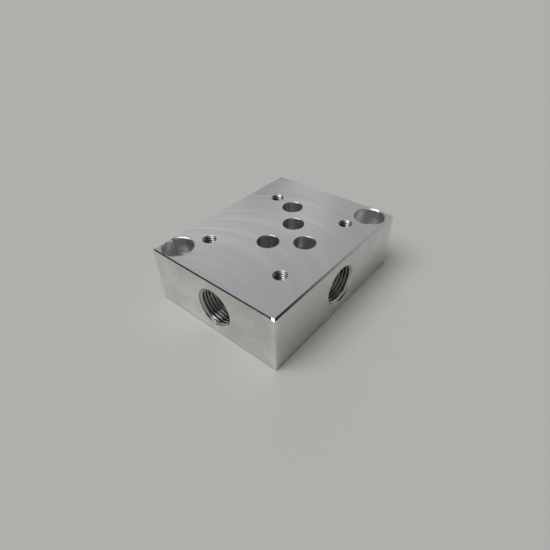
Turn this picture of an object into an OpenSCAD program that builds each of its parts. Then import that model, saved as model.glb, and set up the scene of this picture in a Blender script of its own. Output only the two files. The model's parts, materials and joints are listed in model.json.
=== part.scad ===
// Hydraulic valve subplate: a machined block that carries one directional valve on its top face
// and leads the flow ports of the valve to threaded ports in its four sides.
// +X runs along the block, +Y towards the back and +Z up. The origin is the middle of the base.

/* [Block] */
// Length along X
body_l = 100; // [96:1:160]
// Width along Y
body_w = 78; // [74:1:120]
// Height along Z
body_h = 31.75; // [30:0.25:60]
// Chamfer along the two long top edges
long_edge = 0.8; // [0.2:0.05:0.9]
// Chamfer along the two short top edges
short_edge = 0.55; // [0.2:0.05:0.7]
// Break along the edges of the base
base_edge = 0.3; // [0.1:0.05:0.6]
// Break on the four upright corners
corner_edge = 0.2; // [0.1:0.05:0.6]
// How far a file took off the points of the four top corners
point_cut = 0.65; // [0.4:0.05:0.9]

/* [Valve pattern] */
// Spacing of the valve bolts along X
bolt_dx = 54; // [52:0.5:56]
// Spacing of the valve bolts along Y
bolt_dy = 46; // [44:0.5:48]
// Pressure port from the front left bolt, along X
p_x = 27; // [25:0.1:29]
// Pressure port from the front left bolt, along Y
p_y = 6.3; // [5:0.1:7]
// First work port from the front left bolt, along X
a_x = 16.7; // [15:0.1:18]
// Second work port from the front left bolt, along X
b_x = 37.3; // [36:0.1:38]
// Both work ports from the front left bolt, along Y
ab_y = 21.4; // [20:0.1:23]
// Tank port from the front left bolt, along X
t_x = 50.8; // [50:0.1:52]
// Tank port from the front left bolt, along Y
t_y = 32.5; // [31:0.1:34]
// Bore of the flow ports in the valve face
flow_d = 11; // [8:0.1:11.2]
// Break on the rims of the flow ports
flow_rim = 0.3; // [0.1:0.05:0.5]

/* [Valve bolt holes] */
// Thread diameter of the valve bolts
bolt_d = 6.35; // [5:0.05:7]
// Drill for the bolt thread
bolt_drill_d = 5.1; // [4:0.1:5.5]
// Depth of the bolt thread below the valve face
bolt_thread_depth = 13; // [9:0.5:16]
// Depth of the full drill below the valve face
bolt_drill_depth = 16; // [14:0.5:20]
// Countersink at the mouth, across
bolt_mouth_d = 7.2; // [6.6:0.1:8]

/* [Side ports] */
// Thread diameter of the side ports
port_d = 20.955; // [16:0.005:22]
// Drill for the port thread
port_drill_d = 18.6; // [14:0.1:19]
// Depth of the port thread below its side
port_thread_depth = 14; // [10:0.5:15]
// Depth of the full drill below its side
port_drill_depth = 16; // [12:0.5:18]
// Chamfer at the mouth, across
port_mouth_d = 21.4; // [21.2:0.1:23]
// Cross drilling from a side port to its flow port
gallery_d = 12; // [9:0.1:13]
// How far a cross drilling and its flow port run past each other's axis
drill_past = 1.5; // [0.5:0.1:2.5]

/* [Mounting holes] */
// Each hole from the short side next to it
screw_end = 9; // [8.5:0.1:11]
// Left hole from the back side
screw_back = 8.4; // [8.4:0.1:10]
// Right hole from the front side
screw_front = 9.6; // [8.5:0.1:11]
// Clearance hole for the screw
screw_d = 10.3; // [6:0.1:12]
// Counterbore for the head of the screw
head_d = 15.9; // [13:0.1:16]
// Depth of the counterbore
head_depth = 12.7; // [8:0.1:20]
// Break on the rim of the counterbore
head_rim = 0.4; // [0.1:0.05:0.5]

/* [Hidden] */
$fn = 96;
// Angle of a drill point
drill_angle = 118;
// Width of the chisel edge at the tip of a drill
chisel_w = 0.4;
// Slope of the file on a top corner, and its turn from the X axis
file_slope = 38;
file_turn = 14;
// Side of the block of space that the file clears
file_w = 8;
// How far a cutter starts outside the face that it enters
outside = 1;
// Height at which the side ports and the cross drillings lie
mid_h = body_h / 2;
// Turn about Z towards each side of the block
to_right = 0;
to_back = 90;
to_left = 180;
to_front = -90;
// Flow ports from the front left bolt, each with the side that its passage opens on
flow_ports = [
    [p_x, p_y, to_front],
    [a_x, ab_y, to_left],
    [b_x, ab_y, to_back],
    [t_x, t_y, to_right]
];
// Mounting holes from the middle of the block, left and right
screw_places = [
    [screw_end - body_l / 2, body_w / 2 - screw_back],
    [body_l / 2 - screw_end, screw_front - body_w / 2]
];

// Height of the point of a drill
function point_h(d) = (d - chisel_w) / 2 / tan(drill_angle / 2);

// Place of a flow port from the middle of the block
function flow_place(port) = [port[0] - bolt_dx / 2, port[1] - bolt_dy / 2];

// Distance from a place to the side of the block that lies the given turn about Z
function side_distance(place, turn) =
    abs(cos(turn)) * body_l / 2 + abs(sin(turn)) * body_w / 2 - place * [cos(turn), sin(turn)];

// Upright section of the block, with its lower and upper corners broken
module block_section(width, upper_edge) {
    polygon([
        [base_edge - width / 2, 0],
        [width / 2 - base_edge, 0],
        [width / 2, base_edge],
        [width / 2, body_h - upper_edge],
        [width / 2 - upper_edge, body_h],
        [upper_edge - width / 2, body_h],
        [-width / 2, body_h - upper_edge],
        [-width / 2, base_edge]
    ]);
}

// Sawn and milled block with its edges broken, before drilling
module milled_block() {
    corner_reach = (body_l + body_w) / 2 - corner_edge;
    intersection() {
        rotate([90, 0, 0])
            linear_extrude(body_w + outside, center = true)
                block_section(body_l, short_edge);
        rotate([90, 0, 90])
            linear_extrude(body_l + outside, center = true)
                block_section(body_w, long_edge);
        translate([0, 0, -outside])
            linear_extrude(body_h + 2 * outside)
                polygon([[corner_reach, 0], [0, corner_reach], [-corner_reach, 0], [0, -corner_reach]]);
    }
}

// Milled block with the points of its top corners filed off
module blank() {
    difference() {
        milled_block();
        for (end = [-1, 1], side = [-1, 1])
            translate([end * body_l / 2, side * body_w / 2, body_h])
                rotate([0, file_slope, 90 - 90 * end + end * side * file_turn])
                    translate([0, 0, file_w / 2 - point_cut])
                        cube(file_w, center = true);
    }
}

// Straight hole below the face at z = 0
module bored(d, depth) {
    translate([0, 0, -depth])
        cylinder(d = d, h = depth + outside);
}

// Hole below the face at z = 0 that ends in the point of its drill
module drilled(d, depth) {
    tip = -depth - point_h(d);
    rotate_extrude()
        polygon([[0, outside], [d / 2, outside], [d / 2, -depth], [chisel_w / 2, tip], [0, tip]]);
}

// Countersink of 90 degrees in the face at z = 0, of the given width at the face
module countersunk(d) {
    rotate_extrude()
        polygon([[0, outside], [d / 2 + outside, outside], [0, -d / 2]]);
}

// Tapped hole for a valve bolt, below the face at z = 0
module bolt_hole() {
    countersunk(bolt_mouth_d);
    bored(bolt_d, bolt_thread_depth);
    drilled(bolt_drill_d, bolt_drill_depth);
}

// Threaded side port below the face at z = 0, drilled on to the flow port at the given reach
module side_port(reach) {
    countersunk(port_mouth_d);
    bored(port_d, port_thread_depth);
    drilled(port_drill_d, port_drill_depth);
    drilled(gallery_d, reach + drill_past);
}

// Flow port in the valve face with the side port that it meets inside the block
module flow_passage(port) {
    place = flow_place(port);
    reach = side_distance(place, port[2]);
    translate([place[0], place[1], body_h]) {
        countersunk(flow_d + 2 * flow_rim);
        drilled(flow_d, body_h - mid_h + drill_past);
    }
    translate([place[0], place[1], mid_h])
        rotate([0, 0, port[2]])
            translate([reach, 0, 0])
                rotate([0, 90, 0])
                    side_port(reach);
}

// Counterbored hole for a mounting screw, from the top face to the base
module screw_hole() {
    translate([0, 0, body_h]) {
        countersunk(head_d + 2 * head_rim);
        bored(head_d, head_depth);
        bored(screw_d, body_h + outside);
    }
    mirror([0, 0, 1])
        countersunk(screw_d + 2 * base_edge);
}

module subplate() {
    color("silver")
        difference() {
            blank();
            for (side = [-1, 1], end = [-1, 1])
                translate([end * bolt_dx / 2, side * bolt_dy / 2, body_h])
                    bolt_hole();
            for (port = flow_ports)
                flow_passage(port);
            for (place = screw_places)
                translate(place)
                    screw_hole();
        }
}

subplate();
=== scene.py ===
"""Hydraulic valve subplate: finishes a drilled block, cuts its threads and sets the stage."""

import json
import math

import bmesh
import bpy
from mathutils import Matrix, Vector


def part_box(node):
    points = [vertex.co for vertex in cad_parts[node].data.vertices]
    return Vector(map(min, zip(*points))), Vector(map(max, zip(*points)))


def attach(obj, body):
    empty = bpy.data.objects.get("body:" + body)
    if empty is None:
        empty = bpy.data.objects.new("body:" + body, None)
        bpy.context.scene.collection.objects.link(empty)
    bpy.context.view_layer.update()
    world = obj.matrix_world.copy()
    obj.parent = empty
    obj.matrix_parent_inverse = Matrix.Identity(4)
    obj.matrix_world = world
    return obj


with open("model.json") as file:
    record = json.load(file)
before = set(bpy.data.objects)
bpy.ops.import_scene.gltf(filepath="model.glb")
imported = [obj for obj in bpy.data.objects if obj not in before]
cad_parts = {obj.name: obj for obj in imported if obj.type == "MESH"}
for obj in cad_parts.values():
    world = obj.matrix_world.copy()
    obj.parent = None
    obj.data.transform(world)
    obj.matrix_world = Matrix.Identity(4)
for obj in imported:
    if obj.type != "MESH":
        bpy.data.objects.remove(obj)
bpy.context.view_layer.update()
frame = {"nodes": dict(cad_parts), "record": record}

bl_info = {
    "name": "Valve Subplate",
    "version": (1, 0, 0),
    "blender": (4, 5, 0),
    "location": "View3D > Sidebar > Subplate",
    "description": "Finishes a hydraulic valve subplate, cuts its threads and sets the stage",
    "category": "Object",
}

BODY = "root"
BLOCK = "subplate"
MM = 0.001
IMAGE_PX = 550
SENSOR_MM = 36.0
MOUNTS = {mount["name"]: mount for mount in frame["record"]["mounts"]}
# Side ports, each with the part of a turn at which its thread starts
PIPE_PORTS = {
    "pressure_port": 0.40,
    "first_work_port": 0.78,
    "second_work_port": 0.15,
    "tank_port": 0.55,
}
BLOCK_LOW, BLOCK_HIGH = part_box(BLOCK)
TOP_Z = BLOCK_HIGH.z
# How near two points of a mesh count as one, and how sharp a fold counts as an edge
SAME_POINT, SHARP_ANGLE = 1e-4 * MM, math.radians(40)

# Where the finishes lie

# How near a face of the block a point counts as on it
ON_FACE = 0.05 * MM
# How far in from the ends and sides the lower edges and the top edges are broken
LOWER_BREAK, TOP_BREAK = 0.4 * MM, 1.2 * MM
# How far below the top its broken edges reach, and the painted shade on the rims of the flow ports
EDGE_DROP, SHADED_RIM_DROP = 1 * MM, 0.35 * MM
# How far in from the ends the counterbores for the screw heads reach
HEAD_REACH = 18 * MM
# Upward parts of a facing between which a surface comes to count as the top
TOP_FACING = (0.9, 0.99)
# Heights between which the painted contact shadow along the base fades
CONTACT_SHADE_FADE = (0.3 * MM, 0.6 * MM)
# Distances from the upright edges, and from the near top corner, over which lightening and darkening
# fade
EDGE_LIGHTENING_FADE, CORNER_DARKENING_FADE = (1 * MM, 4 * MM), (12 * MM, 62 * MM)
# How much lighter the upright edges get, and how much darker the near corner gets
EDGE_LIGHTENING, CORNER_DARKENING = 0.6, 0.5
# How dull the patches on the sides get, and how much painted shade darkens the long sides
PATCH_DULL, LONG_SIDE_SHADE = 0.9, 0.45
# How strong the bands on the top are at the front and at the back
SWEEP_FRONT, SWEEP_BACK = 0.2, 0.58

# How fine the marks are, in changes to the metre

# Cutter arcs, along their own length
ARC_DRIFT = 40.0
# Bands on the top, across the arcs and along them
SWEEPS_ACROSS, SWEEPS_ALONG = 170.0, 10.0
# Dull patches on the sides, and their grain along them and upright
PATCHES, GRAIN_ALONG, GRAIN_UP = 80.0, 260.0, 2600.0
# Streaks in the drillings, and fine rings around them
STREAKS, RINGS = 460.0, 20000.0
# Tears and rubbed places on the threads
TEARS, RUBS = 900.0, 250.0
# Weave of the floor
WEAVE = 900.0

# How strong the marks are

# Parts of a noise's range that become hard marks, soft marks, streaks and rubbed places
HARD, SOFT = (0.35, 0.65), (0.3, 0.7)
STREAK_RANGE, RUB_RANGE = (0.42, 0.6), (0.35, 0.7)
# How much slower a streak changes along its drilling than around it
STREAK_DRIFT = 0.04
# Layer of the noise that the bands on the top come from
SWEEP_LAYER = 0.3
# How much rougher and smoother than its mean the metal gets on the top, the sides and in drillings
TOP_VARIES, WALL_VARIES, BORED_VARIES = 0.03, 0.04, 0.04
# How much smoother and how much rougher than its mean a thread gets
THREAD_SMOOTHER, THREAD_ROUGHER = 0.04, 0.05
# Brightness of the parts of a thread that aren't rubbed, and of the paler yarn of the floor
UNRUBBED, PALER_YARN = 0.9, 1.05

# Light

# Turn about Z and rise above the floor of the key light, in degrees
KEY_TURN, KEY_RISE = 154.0, 59.0
# Heights in the sky, from 0 to 1, over which the pale cloth ends and the ceiling starts
HORIZON_FADE, CEILING_FADE = (0.24, 0.38), (0.87, 0.96)
# Patches of the surroundings, each laid over those before: the setting with its light, the turn
# and rise of its middle, and how far from there it starts to fade and is gone, all in degrees
LIGHT_PATCHES = (
    ("wall", 40.0, 35.0, 21.0, 30.0),
    ("wall", -16.0, 17.0, 8.0, 36.0),
    ("window", 54.0, 30.5, 0.0, 7.0),
    ("window", 45.0, 30.5, 0.0, 7.0),
    ("window", 36.0, 29.5, 0.0, 6.0),
    ("shade", 43.0, 23.5, 2.5, 6.0),
    ("fill", -135.0, 15.0, 10.0, 22.0),
)


# Properties


class SubplateThreads(bpy.types.PropertyGroup):
    """Sizes of the threads in the side ports and in the valve bolt holes."""

    port_pitch: bpy.props.FloatProperty(
        name="Port pitch", description="Distance between two turns of a port thread",
        default=1.814 * MM, min=0.5 * MM, unit="LENGTH")
    port_crest_d: bpy.props.FloatProperty(
        name="Port crest", description="Diameter inside the crests of a port thread",
        default=18.631 * MM, min=5 * MM, unit="LENGTH")
    port_depth: bpy.props.FloatProperty(
        name="Port thread depth", description="Depth of a port thread below its side",
        default=14.1 * MM, min=2 * MM, unit="LENGTH")
    port_mouth_d: bpy.props.FloatProperty(
        name="Port mouth", description="Width of the chamfer at the mouth of a port",
        default=21.4 * MM, min=5 * MM, unit="LENGTH")
    bolt_pitch: bpy.props.FloatProperty(
        name="Bolt pitch", description="Distance between two turns of a bolt thread",
        default=1.27 * MM, min=0.3 * MM, unit="LENGTH")
    bolt_crest_d: bpy.props.FloatProperty(
        name="Bolt crest", description="Diameter inside the crests of a bolt thread",
        default=5.12 * MM, min=1 * MM, unit="LENGTH")
    bolt_depth: bpy.props.FloatProperty(
        name="Bolt thread depth", description="Depth of a bolt thread below the valve face",
        default=13.1 * MM, min=2 * MM, unit="LENGTH")
    bolt_mouth_d: bpy.props.FloatProperty(
        name="Bolt mouth", description="Width of the countersink of a bolt hole",
        default=7.2 * MM, min=1 * MM, unit="LENGTH")
    sink: bpy.props.FloatProperty(
        name="Sink", description="How far the back of a thread reaches into the wall around it",
        default=0.15 * MM, min=0.05 * MM, unit="LENGTH")
    cover: bpy.props.FloatProperty(
        name="Cover", description="How far the root of a thread stands inside the wall of its hole",
        default=0.04 * MM, min=0.01 * MM, unit="LENGTH")


class SubplateFinish(bpy.types.PropertyGroup):
    """Colours and tool marks of the machined aluminium."""

    metal: bpy.props.FloatVectorProperty(
        name="Metal", description="Colour of clean machined aluminium",
        default=(0.86, 0.87, 0.875), size=3, subtype="COLOR", min=0, max=1)
    # This colour also gives the painted shade on the long sides
    worn_and_shaded_metal: bpy.props.FloatVectorProperty(
        name="Worn metal", description="Colour of the dull patches on the sides and top",
        default=(0.70, 0.695, 0.672), size=3, subtype="COLOR", min=0, max=1)
    bored_metal: bpy.props.FloatVectorProperty(
        name="Bored metal", description="Colour of the drilled walls",
        default=(0.57, 0.575, 0.575), size=3, subtype="COLOR", min=0, max=1)
    # Painted shade on the flow port rims, a darker colour that dims their highlight
    shaded_rim_metal: bpy.props.FloatVectorProperty(
        name="Rim metal", description="Colour of the broken rims of the flow ports",
        default=(0.34, 0.34, 0.335), size=3, subtype="COLOR", min=0, max=1)
    head_metal: bpy.props.FloatVectorProperty(
        name="Head metal", description="Colour of the counterbores for the screw heads",
        default=(0.70, 0.705, 0.71), size=3, subtype="COLOR", min=0, max=1)
    # Colour of the painted contact shadow along the lower edges of the base
    base_shade: bpy.props.FloatVectorProperty(
        name="Grime", description="Colour of the dirt along the edges of the base",
        default=(0.30, 0.30, 0.29), size=3, subtype="COLOR", min=0, max=1)
    tapped_metal: bpy.props.FloatVectorProperty(
        name="Tapped metal", description="Colour of the port threads",
        default=(0.50, 0.50, 0.49), size=3, subtype="COLOR", min=0, max=1)
    # Painted shade in the bolt threads, a darker colour that dims their glints
    shaded_bolt_metal: bpy.props.FloatVectorProperty(
        name="Oily metal", description="Colour of the bolt threads, which hold old cutting oil",
        default=(0.37, 0.37, 0.36), size=3, subtype="COLOR", min=0, max=1)
    cutter_r: bpy.props.FloatProperty(
        name="Cutter radius", description="Radius of the arcs that the face cutter left on the top",
        default=52 * MM, min=40 * MM, unit="LENGTH")
    cutter_feed: bpy.props.FloatProperty(
        name="Cutter feed", description="Distance between two arcs on the top",
        default=0.45 * MM, min=0.05 * MM, unit="LENGTH")
    mark_depth: bpy.props.FloatProperty(
        name="Mark depth", description="Depth of the tool marks",
        default=0.0004 * MM, min=0, unit="LENGTH", precision=6)
    milled_rough: bpy.props.FloatProperty(
        name="Milled roughness", description="Roughness of the milled faces",
        default=0.23, min=0.05, max=1, subtype="FACTOR")
    edge_rough: bpy.props.FloatProperty(
        name="Edge roughness", description="Roughness of the broken edges",
        default=0.12, min=0.05, max=1, subtype="FACTOR")
    bored_rough: bpy.props.FloatProperty(
        name="Bored roughness", description="Roughness of the drilled walls",
        default=0.35, min=0.05, max=1, subtype="FACTOR")
    ring_slope: bpy.props.FloatProperty(
        name="Ring slope", description="Slope of the fine rings that the drills left on the walls",
        default=1.0, min=0, max=5)
    tapped_rough: bpy.props.FloatProperty(
        name="Tapped roughness", description="Roughness of the port threads",
        default=0.14, min=0.05, max=1, subtype="FACTOR")
    bolt_thread_rough: bpy.props.FloatProperty(
        name="Oily roughness", description="Roughness of the bolt threads",
        default=0.33, min=0.05, max=1, subtype="FACTOR")


class SubplateStage(bpy.types.PropertyGroup):
    """Floor, light and camera."""

    floor_color: bpy.props.FloatVectorProperty(
        name="Floor", description="Colour of the floor",
        default=(0.58, 0.586, 0.557), size=3, subtype="COLOR", min=0, max=1)
    floor_size: bpy.props.FloatProperty(
        name="Floor size", description="Length of each side of the floor",
        default=8.0, min=1, unit="LENGTH")
    horizon: bpy.props.FloatVectorProperty(
        name="Horizon", description="Light of the pale cloth around the floor",
        default=(0.40, 0.402, 0.395), size=3, subtype="COLOR", min=0, max=1)
    room: bpy.props.FloatVectorProperty(
        name="Room", description="Light of the unlit part of the studio",
        default=(0.02, 0.02, 0.02), size=3, subtype="COLOR", min=0, max=1)
    ceiling: bpy.props.FloatVectorProperty(
        name="Ceiling", description="Light of the studio overhead",
        default=(0.95, 0.955, 0.96), size=3, subtype="COLOR", min=0, max=1)
    wall: bpy.props.FloatVectorProperty(
        name="Wall", description="Light of the wall behind the block",
        default=(0.348, 0.35, 0.353), size=3, subtype="COLOR", min=0, max=1)
    window: bpy.props.FloatVectorProperty(
        name="Window", description="Light of the brighter part of that wall",
        default=(0.65, 0.655, 0.67), size=3, subtype="COLOR", min=0, max=1)
    shade: bpy.props.FloatVectorProperty(
        name="Shade", description="Light of the darker strip low on that wall",
        default=(0.09, 0.09, 0.088), size=3, subtype="COLOR", min=0, max=1)
    fill: bpy.props.FloatVectorProperty(
        name="Fill", description="Light of the pale board behind the camera",
        default=(0.42, 0.42, 0.415), size=3, subtype="COLOR", min=0, max=1)
    key_light: bpy.props.FloatProperty(
        name="Key light", description="Strength of the broad key light",
        default=1.68, min=0)
    key_spread: bpy.props.FloatProperty(
        name="Key spread", description="Angle that the key light covers",
        default=math.radians(42), subtype="ANGLE", unit="ROTATION")
    camera_place: bpy.props.FloatVectorProperty(
        name="Camera place", description="Where the camera stands",
        default=(-130.29 * MM, -109.53 * MM, 143.62 * MM), size=3,
        subtype="TRANSLATION", unit="LENGTH")
    camera_turn: bpy.props.FloatProperty(
        name="Camera turn", description="Direction of the view from +X towards +Y",
        default=math.radians(40.909), subtype="ANGLE", unit="ROTATION")
    camera_tilt: bpy.props.FloatProperty(
        name="Camera tilt", description="How far the camera looks down",
        default=math.radians(39.65), subtype="ANGLE", unit="ROTATION")
    camera_roll: bpy.props.FloatProperty(
        name="Camera roll", description="Turn of the camera about its view",
        default=math.radians(-1.709), subtype="ANGLE", unit="ROTATION")
    focal_px: bpy.props.FloatProperty(
        name="Focal length", description="Focal length in pixels of the square image",
        default=393.6, min=50)


class SubplateSettings(bpy.types.PropertyGroup):
    """All settings of the subplate and its stage."""

    threads: bpy.props.PointerProperty(type=SubplateThreads)
    finish: bpy.props.PointerProperty(type=SubplateFinish)
    stage: bpy.props.PointerProperty(type=SubplateStage)


# Node trees


class NodeSheet:
    """A node tree with short calls for the nodes that the finishes use."""

    COLUMN, ROW, PER_COLUMN = 200, 220, 6

    def __init__(self, tree):
        self.tree = tree
        tree.nodes.clear()

    def add(self, kind, **settings):
        """A new node with these settings."""
        made = self.tree.nodes.new(kind)
        column, row = divmod(len(self.tree.nodes) - 1, self.PER_COLUMN)
        made.location = (column * self.COLUMN, -row * self.ROW)
        for name, value in settings.items():
            setattr(made, name, value)
        return made

    def feed(self, socket, value):
        """Links a socket to another, or sets its value."""
        if isinstance(value, bpy.types.NodeSocket):
            self.tree.links.new(value, socket)
        else:
            socket.default_value = value

    def math(self, operation, *values, clamp=False):
        """Result of a math node."""
        made = self.add("ShaderNodeMath", operation=operation, use_clamp=clamp)
        for socket, value in zip(made.inputs, values):
            self.feed(socket, value)
        return made.outputs[0]

    def vector(self, operation, *values, result="Vector"):
        """Result of a vector math node."""
        made = self.add("ShaderNodeVectorMath", operation=operation)
        for socket, value in zip(made.inputs, values):
            self.feed(socket, value)
        return made.outputs[result]

    def split(self, vector):
        """The three parts of a vector."""
        made = self.add("ShaderNodeSeparateXYZ")
        self.feed(made.inputs[0], vector)
        return made.outputs

    def combine(self, x, y, z):
        """A vector from its three parts."""
        made = self.add("ShaderNodeCombineXYZ")
        for socket, value in zip(made.inputs, (x, y, z)):
            self.feed(socket, value)
        return made.outputs[0]

    def noise(self, vector, scale, detail=2.0, roughness=0.5):
        """Noise from 0 to 1 over a vector."""
        made = self.add("ShaderNodeTexNoise")
        names = ("Vector", "Scale", "Detail", "Roughness")
        for name, value in zip(names, (vector, scale, detail, roughness)):
            self.feed(made.inputs[name], value)
        return made.outputs["Fac"]

    def remap(self, value, start, end, low=0.0, high=1.0):
        """A value eased from one range into another, and kept inside it."""
        made = self.add("ShaderNodeMapRange", interpolation_type="SMOOTHSTEP")
        names = ("Value", "From Min", "From Max", "To Min", "To Max")
        for name, part in zip(names, (value, start, end, low, high)):
            self.feed(made.inputs[name], part)
        return made.outputs["Result"]

    def mix(self, share, first, second):
        """A number between two others."""
        return self.between("FLOAT", "Float", share, first, second)

    def blend(self, share, first, second):
        """A colour between two others."""
        return self.between("RGBA", "Color", share, first, second)

    def between(self, kind, ending, share, first, second):
        """Result of a mix node of one kind, whose sockets have names with this ending."""
        made = self.add("ShaderNodeMix", data_type=kind)
        names = ("Factor_Float", "A_" + ending, "B_" + ending)
        for name, value in zip(names, (share, first, second)):
            self.feed(next(socket for socket in made.inputs if socket.identifier == name), value)
        return next(socket for socket in made.outputs if socket.identifier == "Result_" + ending)


def opaque(color):
    """A colour with its alpha."""
    return (*color, 1.0)


# Finishes


def new_material(name):
    """A new material and its node sheet."""
    material = bpy.data.materials.new(name)
    material.use_nodes = True
    return material, NodeSheet(material.node_tree)


def close_metal(sheet, color, roughness, bump_height, bump_distance, facing=None):
    """Ends a metal's nodes in its shader and output. Its marks lie on the facing, if one is given."""
    bump = sheet.add("ShaderNodeBump")
    if facing:
        sheet.feed(bump.inputs["Normal"], facing)
    bump.inputs["Strength"].default_value = 1.0
    bump.inputs["Distance"].default_value = bump_distance
    sheet.feed(bump.inputs["Height"], bump_height)
    shader = sheet.add("ShaderNodeBsdfPrincipled")
    shader.inputs["Metallic"].default_value = 1.0
    sheet.feed(shader.inputs["Base Color"], color)
    sheet.feed(shader.inputs["Roughness"], roughness)
    sheet.feed(shader.inputs["Normal"], bump.outputs["Normal"])
    output = sheet.add("ShaderNodeOutputMaterial")
    sheet.feed(output.inputs["Surface"], shader.outputs["BSDF"])


def milled_aluminium(finish):
    """Milled top with cutter arcs, ground sides with dull patches and streaked drillings."""
    material, sheet = new_material("milled_aluminium")
    coordinates = sheet.add("ShaderNodeTexCoord")
    place = coordinates.outputs["Object"]
    x, y, z = sheet.split(place)
    up = sheet.split(coordinates.outputs["Normal"])[2]

    # Where each kind of surface lies
    end = sheet.math("ABSOLUTE", x)
    side = sheet.math("ABSOLUTE", y)

    def near_faces(depth):
        """One within this depth of the ends and the sides, and zero elsewhere."""
        return sheet.math("MAXIMUM", sheet.math("GREATER_THAN", end, BLOCK_HIGH.x - depth),
                          sheet.math("GREATER_THAN", side, BLOCK_HIGH.y - depth))

    def near_top(depth):
        """One within this depth of the top, and zero elsewhere."""
        return sheet.math("GREATER_THAN", z, TOP_Z - depth)

    on_top = sheet.math("MULTIPLY", sheet.remap(up, *TOP_FACING), near_top(ON_FACE))
    on_wall = near_faces(ON_FACE)
    on_edge = sheet.math("MULTIPLY", near_faces(TOP_BREAK), near_top(EDGE_DROP))
    on_shell = sheet.math(
        "MAXIMUM", near_faces(LOWER_BREAK), sheet.math("MAXIMUM", on_edge, on_top))

    # Arcs of the face cutter, and the broad bands between its passes
    y_squared = sheet.math("MULTIPLY", y, y)
    bow = sheet.math("SQRT", sheet.math("SUBTRACT", finish.cutter_r ** 2, y_squared))
    forward = sheet.math("SUBTRACT", x, bow)
    arc_place = sheet.combine(sheet.math("DIVIDE", forward, finish.cutter_feed),
                              sheet.math("MULTIPLY", y, ARC_DRIFT), 0.0)
    arcs = sheet.noise(arc_place, 1.0, detail=3.0, roughness=0.6)
    sweep_place = sheet.combine(sheet.math("MULTIPLY", forward, SWEEPS_ACROSS),
                                sheet.math("MULTIPLY", y, SWEEPS_ALONG), SWEEP_LAYER)
    sweeps = sheet.remap(sheet.noise(sweep_place, 1.0, detail=4.0, roughness=0.7), *HARD)
    towards_back = sheet.remap(y, BLOCK_LOW.y, BLOCK_HIGH.y, SWEEP_FRONT, SWEEP_BACK)
    sweeps = sheet.math("MULTIPLY", sweeps, towards_back)

    # Dull patches and fine grain of the sides
    patches = sheet.noise(place, PATCHES, detail=4.0, roughness=0.65)
    from_end = sheet.math("SUBTRACT", BLOCK_HIGH.x, end)
    from_side = sheet.math("SUBTRACT", BLOCK_HIGH.y, side)
    from_upright = sheet.math("MAXIMUM", from_end, from_side)
    # Lighter near the upright edges
    edge_lightening = sheet.remap(from_upright, *EDGE_LIGHTENING_FADE, EDGE_LIGHTENING, 0.0)
    # Darker towards the near top corner
    near_corner = (BLOCK_LOW.x, BLOCK_LOW.y, TOP_Z)
    from_corner = sheet.vector("DISTANCE", place, near_corner, result="Value")
    corner_darkening = sheet.remap(from_corner, *CORNER_DARKENING_FADE, CORNER_DARKENING, 0.0)
    # Painted shade on the long sides, through the worn colour
    on_long_side = sheet.math("LESS_THAN", from_side, ON_FACE)
    wear_and_shade = sheet.math("ADD", sheet.remap(patches, *HARD, 0.0, PATCH_DULL), corner_darkening)
    wear_and_shade = sheet.math("ADD", wear_and_shade, sheet.math("MULTIPLY", on_long_side, LONG_SIDE_SHADE))
    wear_and_shade = sheet.math("MULTIPLY", wear_and_shade, sheet.math("SUBTRACT", 1.0, edge_lightening), clamp=True)
    grain_place = sheet.vector("MULTIPLY", place, (GRAIN_ALONG, GRAIN_ALONG, GRAIN_UP))
    grain = sheet.noise(grain_place, 1.0)

    # Upright streaks that the drills and counterbores left as they were drawn out
    streak_place = sheet.combine(x, y, sheet.math("MULTIPLY", z, STREAK_DRIFT))
    streaks = sheet.noise(streak_place, STREAKS, detail=1.0)

    # Fine rings around the drillings, which spread what their walls mirror up and down
    ring_place = sheet.combine(0.5, 0.5, sheet.math("MULTIPLY", z, RINGS))
    rings = sheet.noise(ring_place, 1.0, detail=0.0)
    slope = sheet.math("MULTIPLY", sheet.math("SUBTRACT", rings, 0.5), finish.ring_slope)
    slope = sheet.math("MULTIPLY", slope, sheet.math("SUBTRACT", 1.0, on_shell))
    true_facing = sheet.add("ShaderNodeNewGeometry").outputs["Normal"]
    facing = sheet.vector(
        "NORMALIZE", sheet.vector("ADD", true_facing, sheet.combine(0.0, 0.0, slope)))

    # Colours of the drillings and of the shell around them
    metal, worn_and_shaded = opaque(finish.metal), opaque(finish.worn_and_shaded_metal)
    bored, head = opaque(finish.bored_metal), opaque(finish.head_metal)
    near_end = sheet.math("LESS_THAN", from_end, HEAD_REACH)
    drawn_out = sheet.remap(streaks, *STREAK_RANGE)
    bored_color = sheet.blend(drawn_out, sheet.blend(near_end, bored, head), metal)
    # Painted shade on the rims of the flow ports, a darker colour that dims their highlight
    shaded_rim_color = sheet.blend(near_end, opaque(finish.shaded_rim_metal), bored)
    bored_color = sheet.blend(near_top(SHADED_RIM_DROP), bored_color, shaded_rim_color)
    top_color = sheet.blend(sweeps, metal, worn_and_shaded)
    wall_color = sheet.blend(wear_and_shade, metal, worn_and_shaded)
    shell_color = sheet.blend(on_top, sheet.blend(on_wall, metal, wall_color), top_color)
    # Painted contact shadow: the shell darkens towards the base
    contact_shade = sheet.remap(z, *CONTACT_SHADE_FADE, 1.0, 0.0)
    shell_color = sheet.blend(contact_shade, shell_color, opaque(finish.base_shade))
    color = sheet.blend(on_shell, bored_color, shell_color)

    # Roughness, which varies a little with the marks
    milled, drilled = finish.milled_rough, finish.bored_rough
    top_rough = sheet.remap(arcs, *SOFT, milled - TOP_VARIES, milled + TOP_VARIES)
    wall_rough = sheet.remap(grain, *SOFT, milled - WALL_VARIES, milled + WALL_VARIES)
    bored_rough = sheet.remap(streaks, *HARD, drilled + BORED_VARIES, drilled - BORED_VARIES)
    shell_rough = sheet.mix(on_top, sheet.mix(on_wall, finish.edge_rough, wall_rough), top_rough)
    roughness = sheet.mix(on_shell, bored_rough, shell_rough)

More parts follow.
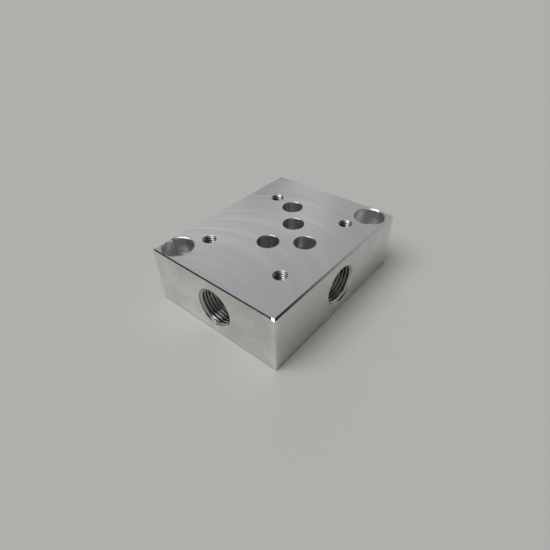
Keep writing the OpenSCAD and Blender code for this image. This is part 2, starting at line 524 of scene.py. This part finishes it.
    marks = sheet.math("ADD", sheet.math("MULTIPLY", arcs, on_top),
                       sheet.math("MULTIPLY", grain, on_wall))
    close_metal(sheet, color, roughness, marks, finish.mark_depth, facing)
    return material


def tapped_aluminium(name, finish, metal, rough):
    """Torn and rubbed flanks of a tapped thread."""
    material, sheet = new_material(name)
    place = sheet.add("ShaderNodeTexCoord").outputs["Object"]
    tears = sheet.noise(place, TEARS, detail=3.0, roughness=0.6)
    rubs = sheet.noise(place, RUBS)
    darker = tuple(UNRUBBED * part for part in metal)
    color = sheet.blend(sheet.remap(rubs, *RUB_RANGE), opaque(darker), opaque(metal))
    roughness = sheet.remap(tears, *SOFT, rough - THREAD_SMOOTHER, rough + THREAD_ROUGHER)
    close_metal(sheet, color, roughness, tears, finish.mark_depth)
    return material


# Threads


class Thread:
    """A right-hand thread in a countersunk hole, by depth below the face and turn about it."""

    # Rows of points in a turn, the shares of the pitch that the flat crest and root take, and
    # how many turns the end of the thread takes to run out
    STEPS, CREST, ROOT, RUN_OUT_TURNS = 16, 0.125, 0.125, 1.5

    def __init__(self, hole_d, crest_d, pitch, depth, mouth_d, settings, first_turn=0.0):
        self.root_r = hole_d / 2 - settings.cover
        self.crest_r = crest_d / 2
        self.back_r = hole_d / 2 + settings.sink
        self.mouth_r = mouth_d / 2
        self.pitch = pitch
        self.start = (mouth_d - hole_d) / 2
        self.end = depth
        self.first_turn = first_turn

    def radius(self, depth, turn):
        """Radius of the thread's surface, which the countersink cuts at its start."""
        phase = (depth / self.pitch + turn + self.first_turn) % 1.0
        slope = (abs(2 * phase - 1) - self.ROOT) / (1 - self.ROOT - self.CREST)
        groove = 1 - min(max(slope, 0.0), 1.0)
        turns_left = (self.end - depth) / self.pitch
        run_out = min(max(turns_left / self.RUN_OUT_TURNS, 0.0), 1.0)
        thread_r = self.crest_r + (self.root_r - self.crest_r) * groove * run_out
        return max(thread_r, self.mouth_r - depth)


def around(radius, turn, depth):
    """A point at a turn about the axis of a hole, and at a depth below the face at z = 0."""
    return (radius * math.cos(math.tau * turn), radius * math.sin(math.tau * turn), -depth)


def thread_mesh(name, thread, sides):
    """A closed sleeve with the thread inside, below a face at z = 0. Its rows follow the helix."""
    steps = thread.STEPS
    rows = math.ceil((thread.end - thread.start) / thread.pitch * steps) + steps
    points = []
    for row in range(rows + 1):
        for side in range(sides):
            turn = side / sides
            depth = thread.start + thread.pitch * (row / steps - turn)
            depth = min(max(depth, thread.start), thread.end)
            points.append(around(thread.radius(depth, turn), turn, depth))
    back = len(points)
    for depth in (thread.start, thread.end):
        for side in range(sides):
            points.append(around(thread.back_r, side / sides, depth))

    def inner(row, side):
        """Index of a point of the thread. A full turn leads on to the row one pitch below."""
        if side < sides:
            return row * sides + side
        return max(row - steps, 0) * sides

    faces = []
    for row in range(rows):
        for side in range(sides):
            faces.append((inner(row, side), inner(row + 1, side),
                          inner(row + 1, side + 1), inner(row, side + 1)))
    for side in range(sides):
        after = (side + 1) % sides
        upper, lower = back + side, back + sides + side
        upper_next, lower_next = back + after, back + sides + after
        faces.append((upper, upper_next, lower_next, lower))
        faces.append((inner(0, side), inner(0, after), upper_next, upper))
        faces.append((inner(rows, after), inner(rows, side), lower, lower_next))

    mesh = bpy.data.meshes.new(name)
    mesh.from_pydata(points, [], faces)
    return mesh


def tidy_mesh(mesh):
    """Merges the points that the ends of a thread share, and shades it smooth between edges."""
    edit = bmesh.new()
    edit.from_mesh(mesh)
    bmesh.ops.remove_doubles(edit, verts=edit.verts, dist=SAME_POINT)
    bmesh.ops.dissolve_degenerate(edit, edges=edit.edges, dist=SAME_POINT)
    bmesh.ops.recalc_face_normals(edit, faces=edit.faces)
    edit.to_mesh(mesh)
    edit.free()
    mesh.shade_smooth()
    mesh.set_sharp_from_angle(angle=SHARP_ANGLE)


def place_thread(context, name, mesh, mouth, axis, material):
    """Puts a thread in its hole and lets it ride with the block."""
    tidy_mesh(mesh)
    piece = bpy.data.objects.new(name, mesh)
    context.collection.objects.link(piece)
    turn = Vector((0, 0, 1)).rotation_difference(axis)
    mesh.transform(Matrix.Translation(mouth) @ turn.to_matrix().to_4x4())
    mesh.materials.append(material)
    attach(piece, BODY)


def mouth_of(mount):
    """Middle of a hole's mouth in the side of the block, and its axis."""
    axis, place = Vector(mount["axis"]), Vector(mount["pos_m"])
    reach = max(BLOCK_LOW.dot(axis), BLOCK_HIGH.dot(axis)) - place.dot(axis)
    return place + axis * reach, axis


# Operators


class SUBPLATE_OT_finish_block(bpy.types.Operator):
    """Give the block its milled aluminium"""

    bl_idname = "subplate.finish_block"
    bl_label = "Finish Block"
    bl_options = {"REGISTER", "UNDO"}

    def execute(self, context):
        finish = context.scene.subplate.finish
        block = frame["nodes"][BLOCK]
        material = milled_aluminium(finish)
        for slot in block.material_slots:
            slot.material = material
        return {"FINISHED"}


class SUBPLATE_OT_cut_port_threads(bpy.types.Operator):
    """Cut the pipe threads of the four side ports"""

    bl_idname = "subplate.cut_port_threads"
    bl_label = "Cut Port Threads"
    bl_options = {"REGISTER", "UNDO"}

    SIDES = 96

    def execute(self, context):
        settings = context.scene.subplate
        sizes, finish = settings.threads, settings.finish
        material = tapped_aluminium(
            "tapped_aluminium", finish, finish.tapped_metal, finish.tapped_rough)
        for port, first_turn in PIPE_PORTS.items():
            mount = MOUNTS[port]
            hole_d = 2 * mount["dims"]["r_mm"] * MM
            thread = Thread(hole_d, sizes.port_crest_d, sizes.port_pitch, sizes.port_depth,
                            sizes.port_mouth_d, sizes, first_turn)
            name = port + "_thread"
            mouth, axis = mouth_of(mount)
            mesh = thread_mesh(name, thread, self.SIDES)
            place_thread(context, name, mesh, mouth, axis, material)
        return {"FINISHED"}


class SUBPLATE_OT_cut_bolt_threads(bpy.types.Operator):
    """Cut the threads of the four valve bolt holes"""

    bl_idname = "subplate.cut_bolt_threads"
    bl_label = "Cut Bolt Threads"
    bl_options = {"REGISTER", "UNDO"}

    SIDES = 48

    def execute(self, context):
        settings = context.scene.subplate
        sizes, finish = settings.threads, settings.finish
        # The bolt threads get painted shade, a darker colour that dims their glints
        material = tapped_aluminium("shaded_bolt_aluminium", finish, finish.shaded_bolt_metal, finish.bolt_thread_rough)
        pattern = MOUNTS["valve_bolts"]
        half_x = pattern["dims"]["spacing_x_mm"] * MM / 2
        half_y = pattern["dims"]["spacing_y_mm"] * MM / 2
        hole_d = 2 * pattern["dims"]["hole_r_mm"] * MM
        middle, axis = Vector(pattern["pos_m"]), Vector(pattern["axis"])
        for end, across in (("left", -half_x), ("right", half_x)):
            for side, along in (("front", -half_y), ("back", half_y)):
                thread = Thread(hole_d, sizes.bolt_crest_d, sizes.bolt_pitch, sizes.bolt_depth,
                                sizes.bolt_mouth_d, sizes)
                name = f"bolt_thread_{side}_{end}"
                mouth = middle + Vector((across, along, 0))
                mesh = thread_mesh(name, thread, self.SIDES)
                place_thread(context, name, mesh, mouth, axis, material)
        return {"FINISHED"}


class SUBPLATE_OT_set_stage(bpy.types.Operator):
    """Make the floor, the surroundings, the key light and the camera"""

    bl_idname = "subplate.set_stage"
    bl_label = "Set Stage"
    bl_options = {"REGISTER", "UNDO"}

    def execute(self, context):
        settings = context.scene.subplate.stage
        make_floor(context, settings)
        make_surroundings(context, settings)
        make_key_light(context, settings, from_compass(KEY_TURN, KEY_RISE))
        make_camera(context, settings)
        context.scene.view_settings.view_transform = "Standard"
        return {"FINISHED"}


# Stage


def make_floor(context, settings):
    """A plain pale floor under the block."""
    half = settings.floor_size / 2
    mesh = bpy.data.meshes.new("floor")
    corners = [(-half, -half, 0), (half, -half, 0), (half, half, 0), (-half, half, 0)]
    mesh.from_pydata(corners, [], [(0, 1, 2, 3)])
    material, sheet = new_material("pale_floor")
    place = sheet.add("ShaderNodeTexCoord").outputs["Object"]
    weave = sheet.noise(place, WEAVE, roughness=0.6)
    paler = tuple(min(1.0, part * PALER_YARN) for part in settings.floor_color)
    color = sheet.blend(weave, opaque(settings.floor_color), opaque(paler))
    shader = sheet.add("ShaderNodeBsdfPrincipled")
    sheet.feed(shader.inputs["Base Color"], color)
    shader.inputs["Roughness"].default_value = 0.9
    shader.inputs["Specular IOR Level"].default_value = 0.1
    output = sheet.add("ShaderNodeOutputMaterial")
    sheet.feed(output.inputs["Surface"], shader.outputs["BSDF"])
    mesh.materials.append(material)
    floor = bpy.data.objects.new("floor", mesh)
    context.collection.objects.link(floor)


def from_compass(turn, rise):
    """Direction at a turn about Z and a rise above the floor, both in degrees."""
    turn, rise = math.radians(turn), math.radians(rise)
    flat = math.cos(rise)
    return Vector((flat * math.cos(turn), flat * math.sin(turn), math.sin(rise)))


def make_surroundings(context, settings):
    """A dim studio with pale cloth around the floor, a pale ceiling and patches of light."""
    world = bpy.data.worlds.new("studio")
    world.use_nodes = True
    context.scene.world = world
    sheet = NodeSheet(world.node_tree)
    direction = sheet.vector("NORMALIZE", sheet.add("ShaderNodeTexCoord").outputs["Generated"])
    height = sheet.split(direction)[2]
    color = sheet.blend(
        sheet.remap(height, *HORIZON_FADE), opaque(settings.horizon), opaque(settings.room))
    color = sheet.blend(sheet.remap(height, *CEILING_FADE), color, opaque(settings.ceiling))
    for light, turn, rise, inner, outer in LIGHT_PATCHES:
        facing = sheet.vector("DOT_PRODUCT", direction, from_compass(turn, rise), result="Value")
        share = sheet.remap(facing, math.cos(math.radians(outer)), math.cos(math.radians(inner)))
        color = sheet.blend(share, color, opaque(getattr(settings, light)))
    background = sheet.add("ShaderNodeBackground")
    sheet.feed(background.inputs["Color"], color)
    output = sheet.add("ShaderNodeOutputWorld")
    sheet.feed(output.inputs["Surface"], background.outputs["Background"])


def make_key_light(context, settings, direction):
    """A broad even light from far off in one direction."""
    light = bpy.data.lights.new("key_light", "SUN")
    light.energy = settings.key_light
    light.angle = settings.key_spread
    holder = bpy.data.objects.new("key_light", light)
    holder.location = direction
    holder.rotation_mode = "QUATERNION"
    holder.rotation_quaternion = direction.to_track_quat("Z", "Y")
    context.collection.objects.link(holder)


def make_camera(context, settings):
    """The camera at the angle of the photograph."""
    turn, tilt, roll = settings.camera_turn, settings.camera_tilt, settings.camera_roll
    flat = math.cos(tilt)
    view = Vector((flat * math.cos(turn), flat * math.sin(turn), -math.sin(tilt)))
    level = Vector((math.sin(turn), -math.cos(turn), 0))
    upright = level.cross(view)
    right = math.cos(roll) * level + math.sin(roll) * upright
    up = right.cross(view)
    camera = bpy.data.cameras.new("camera")
    camera.sensor_width = SENSOR_MM
    camera.lens = SENSOR_MM * settings.focal_px / IMAGE_PX
    camera.clip_start = 1 * MM
    camera.clip_end = 20.0
    holder = bpy.data.objects.new("camera", camera)
    attitude = Matrix((right, up, -view)).transposed().to_4x4()
    holder.matrix_world = Matrix.Translation(settings.camera_place) @ attitude
    context.collection.objects.link(holder)
    context.scene.camera = holder


# Panel and registration


class SUBPLATE_PT_panel(bpy.types.Panel):
    """Steps and settings of the subplate"""

    bl_idname = "SUBPLATE_PT_panel"
    bl_label = "Valve Subplate"
    bl_space_type = "VIEW_3D"
    bl_region_type = "UI"
    bl_category = "Subplate"

    def draw(self, context):
        layout = self.layout
        for step in STEPS:
            layout.operator(step.bl_idname)
        settings = context.scene.subplate
        for group in (settings.threads, settings.finish, settings.stage):
            box = layout.box()
            for name in group.__annotations__:
                box.prop(group, name)


STEPS = (
    SUBPLATE_OT_finish_block,
    SUBPLATE_OT_cut_port_threads,
    SUBPLATE_OT_cut_bolt_threads,
    SUBPLATE_OT_set_stage,
)
CLASSES = (
    SubplateThreads, SubplateFinish, SubplateStage, SubplateSettings, *STEPS, SUBPLATE_PT_panel)


def register():
    """Adds the classes and the scene's settings."""
    for entry in CLASSES:
        bpy.utils.register_class(entry)
    bpy.types.Scene.subplate = bpy.props.PointerProperty(type=SubplateSettings)


def unregister():
    """Takes the classes and the scene's settings away."""
    del bpy.types.Scene.subplate
    for entry in reversed(CLASSES):
        bpy.utils.unregister_class(entry)


def main():
    """Builds the subplate on its stage."""
    register()
    bpy.ops.subplate.finish_block()
    bpy.ops.subplate.cut_port_threads()
    bpy.ops.subplate.cut_bolt_threads()
    bpy.ops.subplate.set_stage()


if __name__ == "__main__":
    main()
